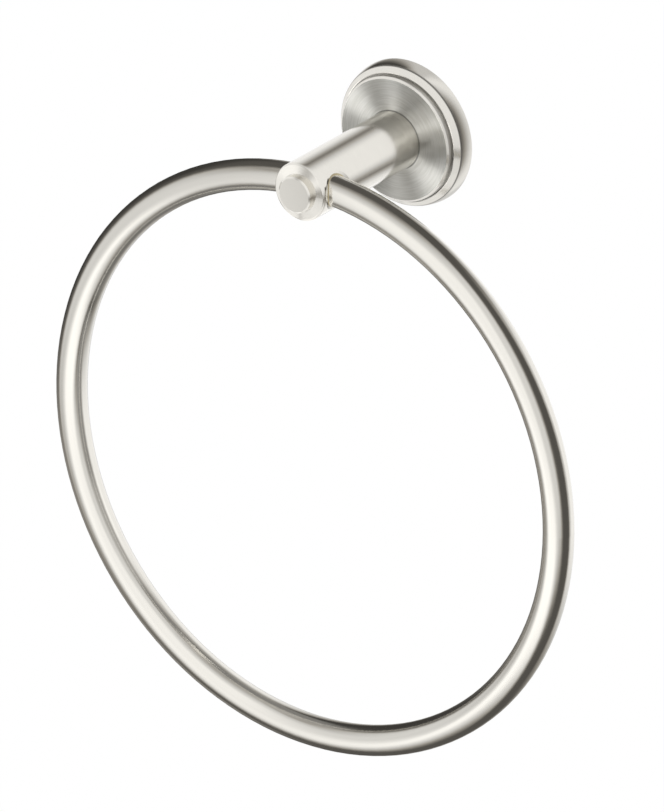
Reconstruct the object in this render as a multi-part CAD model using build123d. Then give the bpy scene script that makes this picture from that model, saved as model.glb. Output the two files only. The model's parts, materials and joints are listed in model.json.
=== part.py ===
"""Wall-hung towel ring: a turned post on a stepped round rose, with a ring that swings in the post's nose.

Millimetres. The wall is the plane Y = 0, the post points along -Y, and +Z is up. The origin is where the
post's axis meets the wall. Values named ..._AT are distances from the wall, along -Y.
"""
import os
from math import asin, atan2, cos, hypot, pi, sqrt, tan

from build123d import *

# Ring: a round bar bent to a closed circle
RING_DIAMETER = 200.0
RING_BAR_DIAMETER = 10.0

# Cross bore that carries the ring, and the shallow bevel round each of its mouths
BORE_GAP = 0.08
BORE_RISE = 0.27
MOUTH_WIDTH = 1.1
MOUTH_DEPTH = 0.35
MOUTH_LAND = 0.15

# Post, from the rose's face to the button on its nose
POST_DIAMETER = 19.5
POST_LENGTH = 53.8
NOSE_BEVEL_WIDTH = 3.35
NOSE_BEVEL_RISE = 0.6
NOSE_LEDGE = 0.3
BUTTON_HEIGHT = 2.5
BUTTON_CHAMFER = 0.45
NOSE_EDGE_RADIUS = 0.9

# Spigot that centres the post in the rose, and the tapped hole inside it
SPIGOT_DIAMETER = 11.0
SPIGOT_PLAY = 0.1
SPIGOT_SHORTFALL = 0.4
TAPPED_DEPTH = 14.0
TAP_POINT = 1.5
THREAD_PLAY = 0.05

# Rose, from the wall outwards: pillowed flange, bevel, ledge, boss and flat face
ROSE_DIAMETER = 48.7
FLANGE_HEIGHT = 4.5
FLANGE_DRAW_IN = 0.95
ROSE_BEVEL_WIDTH = 1.8
ROSE_BEVEL_RISE = 1.55
ROSE_LEDGE = 0.6
BOSS_HEIGHT = 2.15
BOSS_CHAMFER = 0.7
ROSE_EDGE_RADIUS = 0.2
ROSE_WALL = 3.0
ROSE_WEB = 3.0

# Wall plate inside the rose
PLATE_PLAY = 0.3
PLATE_LIP = 0.8
PLATE_EDGE_CHAMFER = 0.4
EYE_PLAY = 0.6
WALL_HOLE_DIAMETER = 4.5
WALL_HOLE_SINK = 1.4
WALL_HOLE_EDGE = 5.05

# Grub screw in the underside of the rose, its cone in a groove round the plate
GRUB_DIAMETER = 3.0
GRUB_AT = 2.0
GRUB_RECESS = 0.6
GROOVE_DEPTH = 0.7
GRUB_SEAT_GAP = 0.1
GRUB_KEY = 1.5
GRUB_KEY_DEPTH = 1.2

# Screw and washer that pull the post against the rose from behind
SCREW_DIAMETER = 6.0
SCREW_LENGTH = 14.0
SCREW_HEAD_DIAMETER = 10.0
SCREW_HEAD_HEIGHT = 2.2
SCREW_HEAD_CHAMFER = 0.4
SCREW_END_CHAMFER = 0.8
SCREW_KEY = 4.0
SCREW_KEY_DEPTH = 1.3
WASHER_DIAMETER = 13.0
WASHER_THICKNESS = 1.2
WASHER_PLAY = 0.2

# Ring and bore, worked out: the bent bar lies high in the middle of the bore and low at its mouths
BAR_RADIUS = RING_BAR_DIAMETER / 2
RING_RADIUS = RING_DIAMETER / 2 - BAR_RADIUS
POST_RADIUS = POST_DIAMETER / 2
BORE_REACH = POST_RADIUS - MOUTH_DEPTH
BEND_DROP = RING_RADIUS - sqrt(RING_RADIUS**2 - BORE_REACH**2)
BAR_SLICE_RADIUS = BAR_RADIUS / cos(asin(BORE_REACH / RING_RADIUS))
BAR_RISE = BEND_DROP / 2
BORE_RADIUS = BAR_SLICE_RADIUS + BAR_RISE + BORE_GAP

# Rose, worked out
FLANGE_TOP_RADIUS = ROSE_DIAMETER / 2 - FLANGE_DRAW_IN
LEDGE_RADIUS = FLANGE_TOP_RADIUS - ROSE_BEVEL_WIDTH
LEDGE_AT = FLANGE_HEIGHT + ROSE_BEVEL_RISE
BOSS_RADIUS = LEDGE_RADIUS - ROSE_LEDGE
FACE_AT = LEDGE_AT + BOSS_HEIGHT
CAVITY_RADIUS = ROSE_DIAMETER / 2 - ROSE_WALL
WEB_BACK_AT = FACE_AT - ROSE_WEB

# Post, worked out
BUTTON_AT = FACE_AT + POST_LENGTH
NOSE_LEDGE_AT = BUTTON_AT - BUTTON_HEIGHT
COLLAR_AT = NOSE_LEDGE_AT - NOSE_BEVEL_RISE
NOSE_LEDGE_RADIUS = POST_RADIUS - NOSE_BEVEL_WIDTH
BUTTON_RADIUS = NOSE_LEDGE_RADIUS - NOSE_LEDGE
NOSE_EDGE_TURN = pi / 2 - atan2(NOSE_BEVEL_RISE, NOSE_BEVEL_WIDTH)
NOSE_EDGE_RUN = NOSE_EDGE_RADIUS * tan(NOSE_EDGE_TURN / 2)
BORE_AT = COLLAR_AT - NOSE_EDGE_RUN - MOUTH_LAND - MOUTH_WIDTH - BORE_RADIUS
SPIGOT_RADIUS = SPIGOT_DIAMETER / 2
SPIGOT_END_AT = WEB_BACK_AT + SPIGOT_SHORTFALL

# Wall plate and fasteners, worked out
PLATE_RADIUS = CAVITY_RADIUS - PLATE_PLAY
PLATE_FRONT_AT = GRUB_AT + GROOVE_DEPTH + PLATE_LIP
WALL_HOLE_RADIUS = WALL_HOLE_DIAMETER / 2
WALL_HOLE_X = PLATE_RADIUS - WALL_HOLE_EDGE
GRUB_RADIUS = GRUB_DIAMETER / 2
GRUB_TIP_Z = PLATE_RADIUS - GROOVE_DEPTH + GRUB_SEAT_GAP
GRUB_END_Z = ROSE_DIAMETER / 2 - GRUB_RECESS
SCREW_RADIUS = SCREW_DIAMETER / 2
WASHER_RADIUS = WASHER_DIAMETER / 2
WASHER_BACK_AT = WEB_BACK_AT - WASHER_THICKNESS
EYE_RADIUS = WASHER_RADIUS + EYE_PLAY


def half_section(*corners: tuple[float, float]) -> Sketch:
    """Close a straight-sided half-section from its (radius, distance from the wall) corners."""
    return make_face(Polyline(*[(radius, -at) for radius, at in corners], close=True))


def soften(section: Sketch, radius: float, *corners: tuple[float, float]) -> Sketch:
    """Round the chosen (radius, distance from the wall) corners of a half-section."""
    chosen = [section.vertices().sort_by_distance((r, -at, 0))[0] for r, at in corners]
    return fillet(chosen, radius)


def turned(section: Sketch) -> Part:
    """Turn a half-section about the post's axis."""
    return revolve(section, axis=Axis.Y)


def key_recess(across_flats: float, depth: float) -> Part:
    """A hexagon recess that opens at the origin and goes in along +Z."""
    return extrude(RegularPolygon(across_flats / 2, 6, major_radius=False), depth)


def make_rose() -> Part:
    """The stepped cover, hollow behind, with the post's register hole and the grub screw's hole."""
    pillow = (FLANGE_DRAW_IN**2 + FLANGE_HEIGHT**2) / (2 * FLANGE_DRAW_IN)
    half_way = FLANGE_HEIGHT / 2
    draw_in = pillow - sqrt(pillow**2 - half_way**2)
    foot = (ROSE_DIAMETER / 2, 0)
    edge = (FLANGE_TOP_RADIUS, -FLANGE_HEIGHT)
    steps = [
        (LEDGE_RADIUS, LEDGE_AT),
        (BOSS_RADIUS, LEDGE_AT),
        (BOSS_RADIUS, FACE_AT - BOSS_CHAMFER),
        (BOSS_RADIUS - BOSS_CHAMFER, FACE_AT),
        (SPIGOT_RADIUS + SPIGOT_PLAY, FACE_AT),
        (SPIGOT_RADIUS + SPIGOT_PLAY, WEB_BACK_AT),
        (CAVITY_RADIUS, WEB_BACK_AT),
        (CAVITY_RADIUS, 0),
    ]
    outline = Curve() + [
        ThreePointArc(foot, (ROSE_DIAMETER / 2 - draw_in, -half_way), edge),
        Polyline(edge, *[(radius, -at) for radius, at in steps], foot),
    ]
    section = soften(
        make_face(outline),
        ROSE_EDGE_RADIUS,
        (FLANGE_TOP_RADIUS, FLANGE_HEIGHT),
        (LEDGE_RADIUS, LEDGE_AT),
    )
    grub_hole = Cylinder(
        GRUB_RADIUS + THREAD_PLAY,
        ROSE_DIAMETER,
        align=(Align.CENTER, Align.CENTER, Align.MAX),
    )
    return turned(section) - Pos(0, -GRUB_AT, 0) * grub_hole


def make_post() -> Part:
    """The turned post with its stepped nose and spigot, cross-bored for the ring and tapped from behind."""
    tap_radius = SCREW_RADIUS + THREAD_PLAY
    tap_end_at = SPIGOT_END_AT + TAPPED_DEPTH
    section = half_section(
        (0, BUTTON_AT),
        (BUTTON_RADIUS - BUTTON_CHAMFER, BUTTON_AT),
        (BUTTON_RADIUS, BUTTON_AT - BUTTON_CHAMFER),
        (BUTTON_RADIUS, NOSE_LEDGE_AT),
        (NOSE_LEDGE_RADIUS, NOSE_LEDGE_AT),
        (POST_RADIUS, COLLAR_AT),
        (POST_RADIUS, FACE_AT),
        (SPIGOT_RADIUS, FACE_AT),
        (SPIGOT_RADIUS, SPIGOT_END_AT),
        (tap_radius, SPIGOT_END_AT),
        (tap_radius, tap_end_at),
        (0, tap_end_at + TAP_POINT),
    )
    section = soften(section, NOSE_EDGE_RADIUS, (POST_RADIUS, COLLAR_AT))
    bore = Pos(0, -BORE_AT, BORE_RISE) * Rot(0, 90, 0) * Cylinder(BORE_RADIUS, 2 * POST_DIAMETER)
    bored = turned(section) - bore
    side = max(bored.faces().filter_by(GeomType.CYLINDER), key=lambda face: face.area)
    mouths = [edge for edge in side.edges() if on_bore(edge @ 0.5)]
    return chamfer(mouths, MOUTH_WIDTH, MOUTH_DEPTH, reference=side)


def on_bore(point: Vector) -> bool:
    """Whether a point lies on the wall of the cross bore."""
    return abs(hypot(point.Y + BORE_AT, point.Z - BORE_RISE) - BORE_RADIUS) < BORE_GAP


def make_ring() -> Part:
    """The closed ring, hanging plumb with the bend of its bar centred on the axis of the cross bore."""
    centre_z = BORE_RISE + BAR_RISE - RING_RADIUS
    return Pos(0, -BORE_AT, centre_z) * Rot(90, 0, 0) * Torus(RING_RADIUS, BAR_RADIUS)


def make_wall_plate() -> Part:
    """The disc on the wall: an eye round the post's screw, two sunk holes and the grub screw's groove."""
    section = half_section(
        (EYE_RADIUS, 0),
        (PLATE_RADIUS, 0),
        (PLATE_RADIUS, GRUB_AT - GROOVE_DEPTH),
        (PLATE_RADIUS - GROOVE_DEPTH, GRUB_AT),
        (PLATE_RADIUS, GRUB_AT + GROOVE_DEPTH),
        (PLATE_RADIUS, PLATE_FRONT_AT - PLATE_EDGE_CHAMFER),
        (PLATE_RADIUS - PLATE_EDGE_CHAMFER, PLATE_FRONT_AT),
        (EYE_RADIUS, PLATE_FRONT_AT),
    )
    through = turned(half_section(
        (0, -PLATE_FRONT_AT),
        (WALL_HOLE_RADIUS, -PLATE_FRONT_AT),
        (WALL_HOLE_RADIUS, PLATE_FRONT_AT - WALL_HOLE_SINK),
        (WALL_HOLE_RADIUS + 2 * WALL_HOLE_SINK, PLATE_FRONT_AT + WALL_HOLE_SINK),
        (0, PLATE_FRONT_AT + WALL_HOLE_SINK),
    ))
    return turned(section) - Pos(-WALL_HOLE_X, 0, 0) * through - Pos(WALL_HOLE_X, 0, 0) * through


def make_grub_screw() -> Part:
    """The set screw under the rose, its cone in the plate's groove and its key recess facing down."""
    section = make_face(Polyline(
        (0, -GRUB_TIP_Z),
        (GRUB_RADIUS, -GRUB_TIP_Z - GRUB_RADIUS),
        (GRUB_RADIUS, -GRUB_END_Z),
        (0, -GRUB_END_Z),
        close=True,
    ))
    blank = revolve(Plane.XZ * section, axis=Axis.Z)
    screw = blank - Pos(0, 0, -GRUB_END_Z) * key_recess(GRUB_KEY, GRUB_KEY_DEPTH)
    return Pos(0, -GRUB_AT, 0) * screw


def make_post_screw() -> Part:
    """The low-headed screw behind the rose, with its shank in the post and its key recess to the wall."""
    head_radius = SCREW_HEAD_DIAMETER / 2
    head_back_at = WASHER_BACK_AT - SCREW_HEAD_HEIGHT
    shank_end_at = WASHER_BACK_AT + SCREW_LENGTH
    blank = turned(half_section(
        (0, head_back_at),
        (head_radius - SCREW_HEAD_CHAMFER, head_back_at),
        (head_radius, head_back_at + SCREW_HEAD_CHAMFER),
        (head_radius, WASHER_BACK_AT),
        (SCREW_RADIUS, WASHER_BACK_AT),
        (SCREW_RADIUS, shank_end_at - SCREW_END_CHAMFER),
        (SCREW_RADIUS - SCREW_END_CHAMFER, shank_end_at),
        (0, shank_end_at),
    ))
    return blank - Pos(0, -head_back_at, 0) * Rot(90, 0, 0) * key_recess(SCREW_KEY, SCREW_KEY_DEPTH)


def make_post_washer() -> Part:
    """The flat washer between the screw's head and the back of the rose."""
    return turned(half_section(
        (SCREW_RADIUS + WASHER_PLAY, WASHER_BACK_AT),
        (WASHER_RADIUS, WASHER_BACK_AT),
        (WASHER_RADIUS, WEB_BACK_AT),
        (SCREW_RADIUS + WASHER_PLAY, WEB_BACK_AT),
    ))


PIECES = {
    "rose": make_rose,
    "post": make_post,
    "ring": make_ring,
    "wall_plate": make_wall_plate,
    "grub_screw": make_grub_screw,
    "post_screw": make_post_screw,
    "post_washer": make_post_washer,
}

os.makedirs("parts", exist_ok=True)
for node, make in PIECES.items():
    export_step(make(), f"parts/{node}.step")
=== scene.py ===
"""Towel ring in satin nickel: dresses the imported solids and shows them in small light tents."""

import json
import logging
import math
from dataclasses import dataclass, replace
from typing import Any

import bmesh
import bpy
from mathutils import Matrix, Vector


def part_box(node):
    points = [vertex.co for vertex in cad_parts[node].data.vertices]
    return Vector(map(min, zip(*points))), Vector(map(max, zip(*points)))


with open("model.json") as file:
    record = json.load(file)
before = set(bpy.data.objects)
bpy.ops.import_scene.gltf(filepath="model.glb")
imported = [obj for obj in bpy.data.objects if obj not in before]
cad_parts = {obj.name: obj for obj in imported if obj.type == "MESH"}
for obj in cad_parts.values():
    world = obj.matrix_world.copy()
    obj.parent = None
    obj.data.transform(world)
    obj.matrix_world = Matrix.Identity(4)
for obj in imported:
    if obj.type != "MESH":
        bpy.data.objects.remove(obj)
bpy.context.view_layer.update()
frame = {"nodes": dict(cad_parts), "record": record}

MM = 0.001
WHITE = "#FFFFFF"
LOG = logging.getLogger("towel_ring")

# A number, or the socket that gives it.
Value = float | bpy.types.NodeSocket

# The sockets of a Mix node that take and give colours; others have the same names.
MIX_SHARE, MIX_FROM, MIX_TO, MIX_COLOUR = 0, 6, 7, 2


def linear(hex_colour: str) -> tuple[float, float, float, float]:
    """Turns an sRGB hex colour into the linear one that shaders take.

    Args:
        hex_colour: Six hex digits after a hash.

    Returns:
        Linear red, green and blue, and an alpha of 1.
    """
    shares = [int(hex_colour[i:i + 2], 16) / 255 for i in (1, 3, 5)]
    red, green, blue = (s / 12.92 if s <= 0.04045 else ((s + 0.055) / 1.055) ** 2.4 for s in shares)
    return red, green, blue, 1.0


def add_node(
    tree: bpy.types.NodeTree, kind: str, inputs: dict[str | int, Any], **settings: Any
) -> bpy.types.Node:
    """Adds one node to a tree, with its settings and links.

    Args:
        tree: The node tree to add to.
        kind: Blender's name for the type of node.
        inputs: Each input's name or number, with a value to set or an output socket to link from.
        **settings: The node's own attributes.

    Returns:
        The new node.
    """
    node = tree.nodes.new(kind)
    for name, value in settings.items():
        setattr(node, name, value)
    for socket, value in inputs.items():
        if isinstance(value, bpy.types.NodeSocket):
            tree.links.new(value, node.inputs[socket])
        else:
            node.inputs[socket].default_value = value
    return node


def empty_material(name: str) -> bpy.types.Material:
    """Makes a material with a bare node tree.

    Args:
        name: The material's name.

    Returns:
        The new material.
    """
    material = bpy.data.materials.new(name)
    material.use_nodes = True
    material.node_tree.nodes.clear()
    return material


def add_object(name: str, data: bpy.types.ID) -> bpy.types.Object:
    """Adds an object to the scene.

    Args:
        name: The object's name.
        data: Its mesh, lamp or camera.

    Returns:
        The new object.
    """
    thing = bpy.data.objects.new(name, data)
    bpy.context.scene.collection.objects.link(thing)
    return thing


def light_only(light: bpy.types.Object, nodes: tuple[str, ...]) -> None:
    """Links a light to the CAD nodes that it lights, so that it lights no others.

    Args:
        light: A lamp, or an object that glows.
        nodes: The names of the nodes.
    """
    lit = bpy.data.collections.new(f"{light.name}_lights")
    for node in nodes:
        lit.objects.link(frame["nodes"][node])
    light.light_linking.receiver_collection = lit


@dataclass(frozen=True)
class CornerShadeLine:
    """A dark line of painted shade round a turned corner, standing in for the shade that falls there.

    Attributes:
        radius_mm: Radius of the line's middle.
        half_mm: From its middle to the middle of an edge.
        blur_mm: Half the width of its edges.
        tone: Share of the metal's colour left in it.
    """

    radius_mm: float
    half_mm: float
    blur_mm: float
    tone: float


@dataclass(frozen=True)
class BrushedMetal:
    """A plated or plain metal whose fine brush lines run round an axis along Y.

    Attributes:
        name: The metal and how its surface was made.
        tint: Colour of the crests, sRGB hex.
        shade: Colour between the crests, sRGB hex.
        roughness: Roughness of the surface.
        roughness_spread: How much the brush lines change it, either way.
        anisotropy: How far the gloss is drawn out across the brush lines.
        line_mm: Width of the brush lines that are drawn.
        line_depth_mm: Depth of the brush lines.
        streaks: How often a brush line fades in and out along one turn.
        edge_mm: Radius to which handling and plating round the sharp edges.
        edge_samples: Rays that look for a sharp edge nearby.
        noise_low: Noise that counts as between the crests.
        noise_high: Noise that counts as on a crest.
        noise_detail: Finer layers of noise, each of half the size of the one before.
        gloss_turn: Share of a turn from the brush lines to the way that the gloss is drawn out.
        painted_corner_shade: Dark lines of painted shade round its corners.
        painted_corner_shade_dullness: Roughness that a fully black line of that painted shade would add.
        glow: Light that it gives off, in place of the many bounces between bar and bore that a renderer
            cuts short.
    """

    name: str
    tint: str
    shade: str
    roughness: float
    roughness_spread: float
    anisotropy: float
    line_mm: float
    line_depth_mm: float
    streaks: float = 3.0
    edge_mm: float = 0.12
    edge_samples: int = 8
    noise_low: float = 0.3
    noise_high: float = 0.7
    noise_detail: float = 2.0
    gloss_turn: float = 0.25
    painted_corner_shade: tuple[CornerShadeLine, ...] = ()
    painted_corner_shade_dullness: float = 0.45
    glow: float = 0.0

    def material(self, axis_height: float = 0.0) -> bpy.types.Material:
        """Makes the material.

        Args:
            axis_height: Height of the axis that the brush lines run round, in metres.

        Returns:
            The new material.
        """
        material = empty_material(self.name)
        tree = material.node_tree
        radius, crest = self.brush_lines(tree, axis_height)
        shader = self.surface(tree, crest, self.unshaded_share(tree, radius))
        add_node(tree, "ShaderNodeOutputMaterial", {"Surface": shader.outputs["BSDF"]})
        return material

    def brush_lines(
        self, tree: bpy.types.NodeTree, axis_height: float
    ) -> tuple[bpy.types.NodeSocket, bpy.types.NodeSocket]:
        """Draws the brush lines as noise that changes fast across them and slowly along them.

        Args:
            tree: The material's node tree.
            axis_height: Height of the axis that the brush lines run round, in metres.

        Returns:
            The distance from that axis, and a share from 0 between the crests to 1 on them.
        """
        axis, flatten = (0, 0, axis_height), (1, 0, 1)
        lines_per_metre = 1 / (self.line_mm * MM)
        place = add_node(tree, "ShaderNodeTexCoord", {}).outputs["Object"]
        centred = add_node(
            tree, "ShaderNodeVectorMath", {0: place, 1: axis}, operation="SUBTRACT"
        ).outputs["Vector"]
        across = add_node(
            tree, "ShaderNodeVectorMath", {0: centred, 1: flatten}, operation="MULTIPLY"
        ).outputs["Vector"]
        radius = add_node(tree, "ShaderNodeVectorMath", {0: across}, operation="LENGTH").outputs["Value"]
        turn = add_node(tree, "ShaderNodeVectorMath", {0: across}, operation="NORMALIZE").outputs["Vector"]
        streak = add_node(
            tree, "ShaderNodeVectorMath", {0: turn, "Scale": self.streaks}, operation="SCALE"
        ).outputs["Vector"]
        along = add_node(tree, "ShaderNodeSeparateXYZ", {0: streak}).outputs
        depth = add_node(tree, "ShaderNodeSeparateXYZ", {0: centred}).outputs["Y"]
        section = add_node(tree, "ShaderNodeCombineXYZ", {0: radius, 1: depth}).outputs["Vector"]
        fine = add_node(
            tree, "ShaderNodeVectorMath", {0: section, "Scale": lines_per_metre}, operation="SCALE"
        ).outputs["Vector"]
        slow = add_node(tree, "ShaderNodeCombineXYZ", {2: along["X"]}).outputs["Vector"]
        where = add_node(
            tree, "ShaderNodeVectorMath", {0: fine, 1: slow}, operation="ADD"
        ).outputs["Vector"]
        noise = add_node(
            tree,
            "ShaderNodeTexNoise",
            {"Vector": where, "W": along["Z"], "Scale": 1.0, "Detail": self.noise_detail},
            noise_dimensions="4D",
        ).outputs["Fac"]
        crest = add_node(
            tree,
            "ShaderNodeMapRange",
            {"Value": noise, "From Min": self.noise_low, "From Max": self.noise_high},
        ).outputs["Result"]
        return radius, crest

    def unshaded_share(self, tree: bpy.types.NodeTree, radius: bpy.types.NodeSocket) -> Value:
        """Measures how much of the metal's colour the lines of painted shade leave.

        Args:
            tree: The material's node tree.
            radius: The distance from the axis of the brush lines.

        Returns:
            A share, 1 where no painted shade darkens the metal.
        """
        unshaded: Value = 1.0
        for line in self.painted_corner_shade:
            middle = line.radius_mm * MM
            off = add_node(tree, "ShaderNodeMath", {0: radius, 1: middle}, operation="SUBTRACT").outputs[0]
            away = add_node(tree, "ShaderNodeMath", {0: off}, operation="ABSOLUTE").outputs[0]
            left = add_node(
                tree,
                "ShaderNodeMapRange",
                {
                    "Value": away,
                    "From Min": (line.half_mm - line.blur_mm) * MM,
                    "From Max": (line.half_mm + line.blur_mm) * MM,
                    "To Min": line.tone,
                },
                interpolation_type="SMOOTHSTEP",
            ).outputs["Result"]
            unshaded = add_node(tree, "ShaderNodeMath", {0: left, 1: unshaded}, operation="MULTIPLY").outputs[0]
        return unshaded

    def surface(self, tree: bpy.types.NodeTree, crest: bpy.types.NodeSocket, unshaded: Value) -> bpy.types.Node:
        """Makes the metal's shader.

        Args:
            tree: The material's node tree.
            crest: A share from 0 between the crests of the brush lines to 1 on them.
            unshaded: Share of the metal's colour that the lines of painted shade leave.

        Returns:
            The shader's node.
        """
        colour = add_node(
            tree,
            "ShaderNodeMix",
            {MIX_SHARE: crest, MIX_FROM: linear(self.shade), MIX_TO: linear(self.tint)},
            data_type="RGBA",
        ).outputs[MIX_COLOUR]
        # Painted shade: the metal's colour darkened along the lines round its corners.
        shaded = add_node(tree, "ShaderNodeVectorMath", {0: colour, "Scale": unshaded}, operation="SCALE")
        rough = add_node(
            tree,
            "ShaderNodeMapRange",
            {
                "Value": crest,
                "To Min": self.roughness - self.roughness_spread,
                "To Max": self.roughness + self.roughness_spread,
            },
        ).outputs["Result"]
        # Depth of the painted shade, which also makes the metal rougher there.
        painted_shade_depth = add_node(tree, "ShaderNodeMath", {0: 1.0, 1: unshaded}, operation="SUBTRACT").outputs[0]
        dulled = add_node(
            tree, "ShaderNodeMath", {0: painted_shade_depth, 1: self.painted_corner_shade_dullness, 2: rough}, operation="MULTIPLY_ADD"
        )
        edge = add_node(tree, "ShaderNodeBevel", {"Radius": self.edge_mm * MM}, samples=self.edge_samples)
        bump = add_node(
            tree,
            "ShaderNodeBump",
            {"Height": crest, "Distance": self.line_depth_mm * MM, "Normal": edge.outputs["Normal"]},
        )
        tangent = add_node(tree, "ShaderNodeTangent", {}, direction_type="RADIAL", axis="Y")
        return add_node(
            tree,
            "ShaderNodeBsdfPrincipled",
            {
                "Base Color": shaded.outputs["Vector"],
                "Metallic": 1.0,
                "Roughness": dulled.outputs[0],
                "Anisotropic": self.anisotropy,
                "Anisotropic Rotation": self.gloss_turn,
                "Tangent": tangent.outputs["Tangent"],
                "Normal": bump.outputs["Normal"],
                "Emission Color": linear(self.tint),
                "Emission Strength": self.glow,
            },
        )


# Satin nickel plate over polished brass: soft-edged reflections with a warm cast, brush lines hardly seen.
SATIN_NICKEL = BrushedMetal(
    name="satin_nickel_plate",
    tint="#E9E6DF",
    shade="#E6E3DC",
    roughness=0.15,
    roughness_spread=0.02,
    anisotropy=0.0,
    line_mm=0.5,
    line_depth_mm=0.0001,
)

# The same plate on the rose, with dark lines of painted shade in the corners of its steps, at the boss's
# foot and under the bevel.
STEPPED_SATIN_NICKEL = replace(
    SATIN_NICKEL,
    name="satin_nickel_plate_on_steps",
    painted_corner_shade=(
        CornerShadeLine(radius_mm=21.2, half_mm=0.22, blur_mm=0.18, tone=0.42),
        CornerShadeLine(radius_mm=23.42, half_mm=0.15, blur_mm=0.08, tone=0.42),
    ),
)

# Nickel plate brushed in circles on the lathe: gloss fans out from the centre, and fine rings show.
# Real brush lines are about 0.05 mm wide; they are drawn 0.45 mm wide so that they show.
# A dark line of painted shade runs round the post's foot, where the post meets the face.
CIRCLE_BRUSHED_NICKEL = BrushedMetal(
    name="nickel_plate_brushed_in_circles",
    tint="#E8E7E2",
    shade="#D2D1CA",
    roughness=0.40,
    roughness_spread=0.04,
    anisotropy=1.0,
    line_mm=0.45,
    line_depth_mm=0.004,
    streaks=2.0,
    painted_corner_shade=(CornerShadeLine(radius_mm=9.8, half_mm=0.22, blur_mm=0.12, tone=0.6),),
)

# Nickel plate inside the drilled bore, as it comes from the bath, never polished and so dull.
# Its warm khaki tint and its glow are painted bounce light between bar and bore.
BORE_NICKEL = BrushedMetal(
    name="nickel_plate_over_drilled_brass",
    tint="#E3DCC6",
    shade="#CFC7AE",
    roughness=0.45,
    roughness_spread=0.05,
    anisotropy=0.0,
    line_mm=0.4,
    line_depth_mm=0.002,
    glow=0.35,
)

# Bright zinc plate over turned steel: bluish grey and duller than nickel.
ZINC_PLATE = BrushedMetal(
    name="zinc_plate_on_turned_steel",
    tint="#CFD2D6",
    shade="#BFC2C6",
    roughness=0.38,
    roughness_spread=0.05,
    anisotropy=0.4,
    line_mm=0.5,
    line_depth_mm=0.003,
)

# Plain stainless steel as the screw maker leaves it: neutral grey, slightly dull.
SCREW_STEEL = BrushedMetal(
    name="stainless_steel_as_rolled",
    tint="#C9C8C6",
    shade="#B4B3B1",
    roughness=0.34,
    roughness_spread=0.05,
    anisotropy=0.2,
    line_mm=0.4,
    line_depth_mm=0.003,
)


def plate(node: str, material: bpy.types.Material) -> bpy.types.Object:
    """Gives a CAD node one material.

    Args:
        node: The node's name.
        material: The material.

    Returns:
        The node's object.
    """
    piece = frame["nodes"][node]
    piece.data.materials.clear()
    piece.data.materials.append(material)
    return piece


@dataclass
class Rose:
    """The stepped wall cover, turned and plated, with a flat face brushed in circles.

    Attributes:
        satin: Finish of the turned steps.
        brushed: Finish of the flat face.
        flatness: How far a facet's centre may lie from the face, in metres.
    """

    satin: BrushedMetal = STEPPED_SATIN_NICKEL
    brushed: BrushedMetal = CIRCLE_BRUSHED_NICKEL
    flatness: float = 0.01 * MM

    def dress(self) -> None:
        """Plates the steps and brushes the facets that lie in the face."""
        rose = plate("rose", self.satin.material())
        rose.data.materials.append(self.brushed.material())
        face_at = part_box("rose")[0].y
        for facet in rose.data.polygons:
            in_face = abs(facet.center.y - face_at) < self.flatness
            facet.material_index = int(in_face)
        LOG.info("rose dressed")


@dataclass
class Post:
    """The turned post with its stepped nose and cross bore.

    Attributes:
        satin: Finish of the turned outside.
        drilled: Finish of the bore's wall, whose khaki tint and glow are painted bounce light.
        bore_radius: Farthest that a facet of the bore's wall lies from the bore's axis, in metres.
    """

    satin: BrushedMetal = SATIN_NICKEL
    drilled: BrushedMetal = BORE_NICKEL
    bore_radius: float = 5.4 * MM

    def dress(self) -> None:
        """Plates the post, and gives the facets of the bore that the ring turns in a dull finish that glows
        with painted bounce light.
        """
        post = plate("post", self.satin.material())
        post.data.materials.append(self.drilled.material())
        _, bore_y, bore_z = frame["record"]["behaviour"]["joints"][0]["pos_m"]
        for facet in post.data.polygons:
            off_axis = math.hypot(facet.center.y - bore_y, facet.center.z - bore_z)
            facet.material_index = int(off_axis < self.bore_radius)
        LOG.info("post dressed")


@dataclass
class Ring:
    """The closed ring of round bar.

    Attributes:
        satin: Finish of the bar.
    """

    satin: BrushedMetal = SATIN_NICKEL

    def dress(self) -> None:
        """Plates the ring, with its brush lines along the bar."""
        low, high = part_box("ring")
        plate("ring", self.satin.material(axis_height=(low.z + high.z) / 2))
        LOG.info("ring dressed")


@dataclass
class WallFixing:
    """What the rose hides: the wall plate, its grub screw, and the screw and washer that hold the post.

    Attributes:
        zinc: Finish of the wall plate.
        steel: Finish of the fasteners.
    """

    zinc: BrushedMetal = ZINC_PLATE
    steel: BrushedMetal = SCREW_STEEL

    def dress(self) -> None:
        """Plates the wall plate and leaves the fasteners in plain steel."""
        plate("wall_plate", self.zinc.material())
        steel = self.steel.material()
        for fastener in ("grub_screw", "post_screw", "post_washer"):
            plate(fastener, steel)
        LOG.info("wall fixing dressed")


@dataclass(frozen=True)
class Panel:
    """A soft-edged panel of a light tent, lighter or darker than its cloth, seen from the tent's middle.

    Attributes:
        level: Brightness that it adds to the cloth, where 1 is white, or takes away if less than 0.
        azimuth: Where its middle stands, in degrees round from the front towards +X.
        half_width: From its middle to the middle of a side edge, in degrees.
        side_blur: Half the width of its side edges, in degrees.
        elevation: Where its middle stands above the horizon, in degrees.
        half_height: From its middle to the middle of its upper edge, in degrees.
        level_blur: Half the width of its upper and lower edges, in degrees.
    """

    level: float
    azimuth: float
    half_width: float
    side_blur: float
    elevation: float
    half_height: float
    level_blur: float


@dataclass(frozen=True)
class Gore:
    """A pair of dark gores of a light tent, which taper to its hub from either side.

    Attributes:
        depth: Share of the light that they take away.
        turn: Which way they run from the hub, in degrees from +X up.
        half_width: From their middle to the middle of an edge, in degrees.
        blur: Half the width of their edges, in degrees.
        gone: How far from the hub they are gone, in degrees.
        full: How far from the hub they are full, in degrees.
    """

    depth: float
    turn: float
    half_width: float
    blur: float
    gone: float
    full: float


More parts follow.
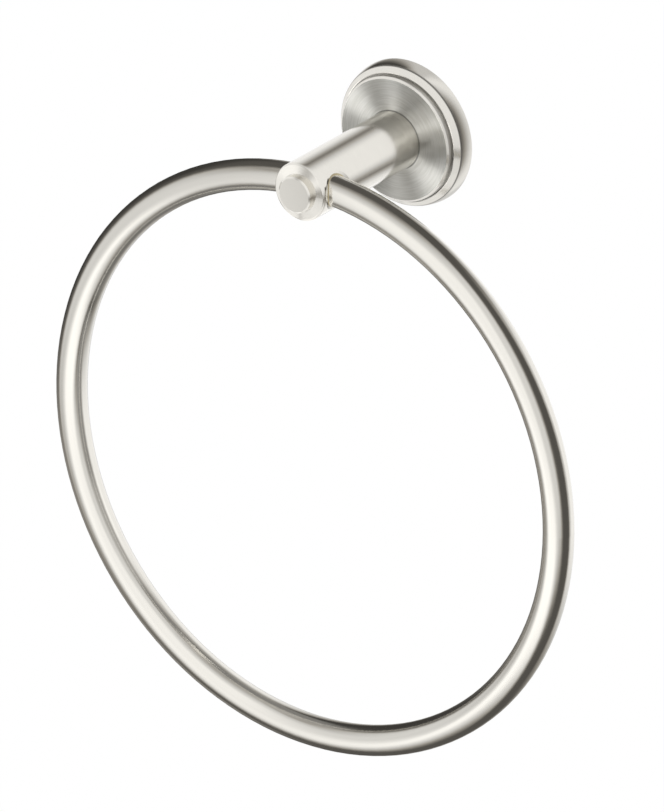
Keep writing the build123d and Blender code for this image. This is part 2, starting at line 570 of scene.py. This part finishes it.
@dataclass
class LightTent:
    """A small tent of glowing cloth round the object, which only gloss sees and which lights chosen pieces.

    Attributes:
        name: The tent's name.
        lights: The CAD nodes that it lights.
        radius: Its radius, in metres.
        sheer: Whether it lets through what lies behind it, for pieces that it doesn't light.
        cloth: Brightness of its plain cloth, where 1 is white.
        panels: Lighter and darker panels in the cloth.
        gores: Pairs of dark gores in the cloth.
        hub: The way from the middle to the hub, which faces that look along -Y mirror to the camera.
        middle: Its middle, in metres.
        dim_tint: Colour of the dim cloth, sRGB hex.
        dim: Brightness up to which the cloth has that colour.
        bright: Brightness from which it is white.
        seams: Number of its seams from top to bottom.
        rings: Number of its rings of cloth.
    """

    name: str
    lights: tuple[str, ...]
    radius: float
    sheer: bool
    cloth: float
    panels: tuple[Panel, ...]
    gores: tuple[Gore, ...] = ()
    hub: tuple[float, float, float] = (-0.535, -0.737, -0.413)
    middle: tuple[float, float, float] = (0.0, -0.040, -0.080)
    dim_tint: str = "#FFFAF2"
    dim: float = 0.3
    bright: float = 0.7
    seams: int = 96
    rings: int = 48

    def pitch(self) -> None:
        """Pitches the tent, hidden from all but glossy rays, and links it to the pieces that it lights."""
        mesh = bpy.data.meshes.new(self.name)
        tent = add_object(self.name, mesh)
        shape = bmesh.new()
        bmesh.ops.create_uvsphere(shape, u_segments=self.seams, v_segments=self.rings, radius=self.radius)
        shape.to_mesh(mesh)
        shape.free()
        tent.location = self.middle
        for ray in ("camera", "diffuse", "transmission", "shadow", "volume_scatter"):
            setattr(tent, f"visible_{ray}", False)
        mesh.materials.append(self.glow())
        light_only(tent, self.lights)
        LOG.info("%s pitched", self.name)

    def glow(self) -> bpy.types.Material:
        """Makes the tent's cloth.

        Returns:
            The new material.
        """
        material = empty_material(f"{self.name}_cloth")
        tree = material.node_tree
        place = add_node(tree, "ShaderNodeTexCoord", {}).outputs["Object"]
        way = add_node(tree, "ShaderNodeVectorMath", {0: place}, operation="NORMALIZE").outputs["Vector"]
        level: Value = self.cloth
        for panel in self.panels:
            level = self.add_panel(tree, way, level, panel)
        for gore in self.gores:
            level = self.add_gore(tree, way, level, gore)
        lit = add_node(tree, "ShaderNodeMath", {0: level, 1: 0.0}, operation="MAXIMUM").outputs[0]
        whiteness = add_node(
            tree, "ShaderNodeMapRange", {"Value": lit, "From Min": self.dim, "From Max": self.bright}
        ).outputs["Result"]
        colour = add_node(
            tree,
            "ShaderNodeMix",
            {MIX_SHARE: whiteness, MIX_FROM: linear(self.dim_tint), MIX_TO: linear(WHITE)},
            data_type="RGBA",
        ).outputs[MIX_COLOUR]
        cloth = add_node(tree, "ShaderNodeEmission", {"Color": colour, "Strength": lit})
        if self.sheer:
            clear = add_node(tree, "ShaderNodeBsdfTransparent", {"Color": linear(WHITE)})
            cloth = add_node(tree, "ShaderNodeAddShader", {0: cloth.outputs[0], 1: clear.outputs[0]})
        add_node(tree, "ShaderNodeOutputMaterial", {"Surface": cloth.outputs[0]})
        return material

    def band(
        self,
        tree: bpy.types.NodeTree,
        angle: bpy.types.NodeSocket,
        middle: float,
        half: float,
        blur: float,
        wrap: float = 180.0,
    ) -> bpy.types.NodeSocket:
        """Measures how far an angle lies inside a soft-edged band.

        Args:
            tree: The cloth's node tree.
            angle: The angle, in radians.
            middle: The band's middle, in degrees.
            half: From its middle to the middle of an edge, in degrees.
            blur: Half the width of its edges, in degrees.
            wrap: Half the turn after which the band comes again, in degrees.

        Returns:
            A share from 0 outside to 1 inside.
        """
        degrees = add_node(tree, "ShaderNodeMath", {0: angle}, operation="DEGREES").outputs[0]
        off = add_node(tree, "ShaderNodeMath", {0: degrees, 1: middle}, operation="SUBTRACT").outputs[0]
        near = add_node(tree, "ShaderNodeMath", {0: off, 1: wrap, 2: -wrap}, operation="WRAP").outputs[0]
        away = add_node(tree, "ShaderNodeMath", {0: near}, operation="ABSOLUTE").outputs[0]
        return add_node(
            tree,
            "ShaderNodeMapRange",
            {"Value": away, "From Min": half + blur, "From Max": half - blur},
            interpolation_type="SMOOTHSTEP",
        ).outputs["Result"]

    def add_panel(
        self, tree: bpy.types.NodeTree, way: bpy.types.NodeSocket, level: Value, panel: Panel
    ) -> bpy.types.NodeSocket:
        """Adds a panel's light to the cloth's.

        Args:
            tree: The cloth's node tree.
            way: The way from the tent's middle to the point.
            level: Brightness so far.
            panel: The panel.

        Returns:
            The new brightness.
        """
        xyz = add_node(tree, "ShaderNodeSeparateXYZ", {0: way}).outputs
        front = add_node(tree, "ShaderNodeMath", {0: xyz["Y"], 1: -1.0}, operation="MULTIPLY").outputs[0]
        azimuth = add_node(tree, "ShaderNodeMath", {0: xyz["X"], 1: front}, operation="ARCTAN2").outputs[0]
        elevation = add_node(tree, "ShaderNodeMath", {0: xyz["Z"]}, operation="ARCSINE").outputs[0]
        wide = self.band(tree, azimuth, panel.azimuth, panel.half_width, panel.side_blur)
        high = self.band(tree, elevation, panel.elevation, panel.half_height, panel.level_blur)
        inside = add_node(tree, "ShaderNodeMath", {0: wide, 1: high}, operation="MULTIPLY").outputs[0]
        return add_node(
            tree, "ShaderNodeMath", {0: inside, 1: panel.level, 2: level}, operation="MULTIPLY_ADD"
        ).outputs[0]

    def add_gore(
        self, tree: bpy.types.NodeTree, way: bpy.types.NodeSocket, level: Value, gore: Gore
    ) -> bpy.types.NodeSocket:
        """Takes a pair of gores' shade from the cloth's light.

        Args:
            tree: The cloth's node tree.
            way: The way from the tent's middle to the point.
            level: Brightness so far.
            gore: The pair of gores.

        Returns:
            The new brightness.
        """
        from_hub = add_node(
            tree, "ShaderNodeVectorMath", {0: way, 1: self.hub}, operation="SUBTRACT"
        ).outputs["Vector"]
        xyz = add_node(tree, "ShaderNodeSeparateXYZ", {0: from_hub}).outputs
        turn = add_node(tree, "ShaderNodeMath", {0: xyz["Z"], 1: xyz["X"]}, operation="ARCTAN2").outputs[0]
        inside = self.band(tree, turn, gore.turn, gore.half_width, gore.blur, wrap=90.0)
        nearness = add_node(tree, "ShaderNodeVectorMath", {0: way, 1: self.hub}, operation="DOT_PRODUCT")
        gone, full = (math.cos(math.radians(angle)) for angle in (gore.gone, gore.full))
        shade = add_node(
            tree,
            "ShaderNodeMapRange",
            {"Value": nearness.outputs["Value"], "From Min": gone, "From Max": full, "To Max": gore.depth},
            interpolation_type="SMOOTHSTEP",
        ).outputs["Result"]
        dark = add_node(tree, "ShaderNodeMath", {0: shade, 1: inside}, operation="MULTIPLY").outputs[0]
        kept = add_node(tree, "ShaderNodeMath", {0: 1.0, 1: dark}, operation="SUBTRACT").outputs[0]
        return add_node(tree, "ShaderNodeMath", {0: level, 1: kept}, operation="MULTIPLY").outputs[0]


# The ring hangs in a dark tent with a large window in front and one behind.
RING_TENT = LightTent(
    name="ring_light_tent",
    lights=("ring",),
    radius=0.40,
    sheer=True,
    cloth=0.10,
    panels=(
        # Tall window in front, its bright foot, and the window behind.
        Panel(0.70, azimuth=-5, half_width=70, side_blur=10, elevation=20, half_height=50, level_blur=25),
        Panel(1.00, azimuth=0, half_width=43, side_blur=15, elevation=-45, half_height=17, level_blur=25),
        Panel(0.95, azimuth=165, half_width=50, side_blur=10, elevation=-5, half_height=40, level_blur=25),
        # Faint light low on the left, and darker cloth on the left towards the back.
        Panel(0.20, azimuth=-100, half_width=20, side_blur=15, elevation=-40, half_height=20, level_blur=10),
        Panel(-0.05, azimuth=-125, half_width=30, side_blur=10, elevation=10, half_height=25, level_blur=10),
        # Brighter middle of the front window, and its dark upper left corner.
        Panel(0.30, azimuth=0, half_width=30, side_blur=10, elevation=0, half_height=40, level_blur=10),
        Panel(-0.60, azimuth=-60, half_width=15, side_blur=10, elevation=45, half_height=10, level_blur=35),
    ),
)

# The post stands in a white tent, whose dark gores show as dark lines along it.
POST_TENT = LightTent(
    name="post_light_tent",
    lights=("post",),
    radius=0.41,
    sheer=True,
    cloth=1.0,
    panels=(
        # Dark bar low in front, and a brighter one above it on the left.
        Panel(-0.85, azimuth=-10, half_width=20, side_blur=15, elevation=-9, half_height=3, level_blur=5),
        Panel(0.20, azimuth=-35, half_width=30, side_blur=10, elevation=5, half_height=10, level_blur=3),
        # Greyer cloth low on the right, and brighter cloth low on the left.
        Panel(-0.40, azimuth=95, half_width=35, side_blur=5, elevation=-35, half_height=15, level_blur=15),
        Panel(0.20, azimuth=-90, half_width=80, side_blur=10, elevation=-55, half_height=25, level_blur=3),
        # Grey patch at the hub, which the flat end of the button mirrors.
        Panel(-0.20, azimuth=-35, half_width=7, side_blur=4, elevation=-25, half_height=7, level_blur=4),
    ),
    gores=(
        Gore(1.00, turn=9, half_width=6, blur=15, gone=10, full=40),
        Gore(1.00, turn=78, half_width=6, blur=14, gone=0, full=130),
        Gore(0.55, turn=75, half_width=10, blur=10, gone=70, full=30),
    ),
)

# The rose stands in a white tent, whose dark gores show as dark wedges on the brushed face.
ROSE_TENT = LightTent(
    name="rose_light_tent",
    lights=("rose", "wall_plate", "grub_screw", "post_screw", "post_washer"),
    radius=0.42,
    sheer=False,
    cloth=0.95,
    panels=(
        # Dark strip on the left towards the back, dark right flank and dark top.
        Panel(-0.90, azimuth=-125, half_width=15, side_blur=15, elevation=40, half_height=30, level_blur=10),
        Panel(-0.90, azimuth=95, half_width=25, side_blur=30, elevation=10, half_height=60, level_blur=35),
        Panel(-0.85, azimuth=-10, half_width=125, side_blur=25, elevation=80, half_height=10, level_blur=3),
        # Bright front, with a band across it and a brighter middle.
        Panel(1.15, azimuth=10, half_width=22, side_blur=4, elevation=-15, half_height=35, level_blur=4),
        Panel(1.00, azimuth=-20, half_width=40, side_blur=20, elevation=10, half_height=20, level_blur=5),
        Panel(0.70, azimuth=10, half_width=15, side_blur=5, elevation=5, half_height=15, level_blur=5),
        # Bright patch on the left, and lighter cloth low in front.
        Panel(1.40, azimuth=-70, half_width=20, side_blur=5, elevation=-5, half_height=20, level_blur=5),
        Panel(0.30, azimuth=15, half_width=25, side_blur=10, elevation=-45, half_height=10, level_blur=5),
        # Greyer cloth behind, high up and low down.
        Panel(-0.30, azimuth=-165, half_width=25, side_blur=15, elevation=60, half_height=45, level_blur=30),
        Panel(-0.25, azimuth=-165, half_width=20, side_blur=10, elevation=-45, half_height=15, level_blur=5),
    ),
    gores=(
        Gore(1.00, turn=12, half_width=23, blur=3, gone=72, full=66),
        Gore(1.00, turn=66, half_width=21, blur=3, gone=72, full=66),
        Gore(0.75, turn=110, half_width=12, blur=5, gone=60, full=55),
    ),
)


@dataclass
class RingLamp:
    """A weak, flat lamp inside the ring, which lights the ring alone.

    Attributes:
        name: The lamp's name.
        place: Its middle, in metres.
        faces: The way that it shines, square to Y.
        length: Its size square to Y, in metres.
        width: Its size along Y, in metres.
        level: Brightness that it shows, where 1 is white.
        white_watts: Power for each square metre at which a lamp shows as white.
    """

    name: str
    place: tuple[float, float, float]
    faces: tuple[float, float, float]
    length: float
    width: float
    level: float
    white_watts: float = 4.0

    def hang(self) -> None:
        """Hangs the lamp, turns it and links it to the ring."""
        data = bpy.data.lights.new(self.name, "AREA")
        data.shape = "RECTANGLE"
        data.size = self.length
        data.size_y = self.width
        data.energy = self.white_watts * self.level * self.length * self.width
        lamp = add_object(self.name, data)
        lamp.location = self.place
        along = Vector((0, 1, 0))
        back = -Vector(self.faces)
        lamp.rotation_mode = "QUATERNION"
        lamp.rotation_quaternion = Matrix((along.cross(back), along, back)).transposed().to_quaternion()
        light_only(lamp, ("ring",))
        LOG.info("%s hung", self.name)


# The dark line on the inside of the ring's left half mirrors the dark cloth of its tent.
# Each lamp lightens a stretch of that line: at the left, towards the top and towards the foot.
RING_LAMPS = (
    RingLamp(
        name="lamp_to_the_left",
        place=(0.028, -0.0516, -0.105),
        faces=(-0.94, 0.0, 0.34),
        length=0.16,
        width=0.08,
        level=0.16,
    ),
    RingLamp(
        name="lamp_to_the_top",
        place=(-0.044, -0.0516, -0.080),
        faces=(0.0, 0.0, 1.0),
        length=0.056,
        width=0.08,
        level=0.08,
    ),
    RingLamp(
        name="lamp_to_the_foot",
        place=(-0.037, -0.038, -0.120),
        faces=(0.0, 0.0, -1.0),
        length=0.03,
        width=0.06,
        level=0.12,
    ),
)


@dataclass
class Studio:
    """White surroundings and floor, the light tents and the lamps.

    Attributes:
        tents: The light tents.
        lamps: The lamps inside the ring.
        floor_height: Height of the floor, in metres.
        floor_width: Width of the floor, in metres.
        floor_glow: Share of the floor's white that is its own.
    """

    tents: tuple[LightTent, ...] = (RING_TENT, POST_TENT, ROSE_TENT)
    lamps: tuple[RingLamp, ...] = RING_LAMPS
    floor_height: float = -0.62
    floor_width: float = 40.0
    floor_glow: float = 0.85

    def build(self) -> None:
        """Builds the surroundings, the floor, the tents and the lamps."""
        self.surround()
        self.lay_floor()
        for tent in self.tents:
            tent.pitch()
        for lamp in self.lamps:
            lamp.hang()

    def surround(self) -> None:
        """Makes the world plain white."""
        scene = bpy.context.scene
        scene.view_settings.view_transform = "Standard"
        scene.world = bpy.data.worlds.new("white_room")
        scene.world.use_nodes = True
        tree = scene.world.node_tree
        tree.nodes.clear()
        white = add_node(tree, "ShaderNodeBackground", {"Color": linear(WHITE), "Strength": 1.0})
        add_node(tree, "ShaderNodeOutputWorld", {"Surface": white.outputs["Background"]})

    def lay_floor(self) -> None:
        """Lays a plain white floor, far enough below to hold no hard shadow."""
        mesh = bpy.data.meshes.new("floor")
        floor = add_object("floor", mesh)
        shape = bmesh.new()
        bmesh.ops.create_grid(shape, x_segments=1, y_segments=1, size=self.floor_width / 2)
        shape.to_mesh(mesh)
        shape.free()
        floor.location.z = self.floor_height
        mesh.materials.append(self.floor_paint())
        LOG.info("floor laid")

    def floor_paint(self) -> bpy.types.Material:
        """Makes the floor's white paint, mostly a glow of strength 1 to the eye, in gloss and through glass.

        Returns:
            The new material.
        """
        material = empty_material("white_floor_paint")
        tree = material.node_tree
        ray = add_node(tree, "ShaderNodeLightPath", {}).outputs
        seen = ray["Is Camera Ray"]
        for other in ("Is Glossy Ray", "Is Transmission Ray"):
            seen = add_node(tree, "ShaderNodeMath", {0: seen, 1: ray[other]}, operation="MAXIMUM").outputs[0]
        share = add_node(tree, "ShaderNodeMath", {0: seen, 1: self.floor_glow}, operation="MULTIPLY")
        paint = add_node(tree, "ShaderNodeBsdfDiffuse", {"Color": linear(WHITE)})
        light = add_node(tree, "ShaderNodeEmission", {"Color": linear(WHITE), "Strength": 1.0})
        mixed = add_node(
            tree, "ShaderNodeMixShader", {0: share.outputs[0], 1: paint.outputs[0], 2: light.outputs[0]}
        )
        add_node(tree, "ShaderNodeOutputMaterial", {"Surface": mixed.outputs[0]})
        return material


@dataclass
class PhotoCamera:
    """A camera at the photograph's viewing angle, far off with a long lens.

    Attributes:
        azimuth: Degrees round from the front, towards +X.
        elevation: Degrees above the horizon.
        distance: From the point that it looks at, in metres.
        aim: The point that it looks at, in metres.
        lens: Focal length, in millimetres.
        sight: How far it sees, in metres.
    """

    azimuth: float = 35.943
    elevation: float = 24.381
    distance: float = 7.0
    aim: tuple[float, float, float] = (-0.00063, -0.04075, -0.08051)
    lens: float = 981.9
    sight: float = 100.0

    def place(self) -> None:
        """Makes the camera and points it."""
        around, above = math.radians(self.azimuth), math.radians(self.elevation)
        flat = math.cos(above)
        back = Vector((math.sin(around) * flat, -math.cos(around) * flat, math.sin(above)))
        data = bpy.data.cameras.new("photo_camera")
        data.lens = self.lens
        data.clip_end = self.sight
        camera = add_object("photo_camera", data)
        camera.location = Vector(self.aim) + back * self.distance
        camera.rotation_mode = "QUATERNION"
        camera.rotation_quaternion = (-back).to_track_quat("-Z", "Y")
        bpy.context.scene.camera = camera
        LOG.info("camera placed")


def main() -> None:
    """Dresses each piece in order, then sets up the studio and the camera."""
    logging.basicConfig(level=logging.INFO, format="%(name)s: %(message)s")
    for assembly in (Rose(), Post(), Ring(), WallFixing()):
        assembly.dress()
    Studio().build()
    PhotoCamera().place()


if __name__ == "__main__":
    main()
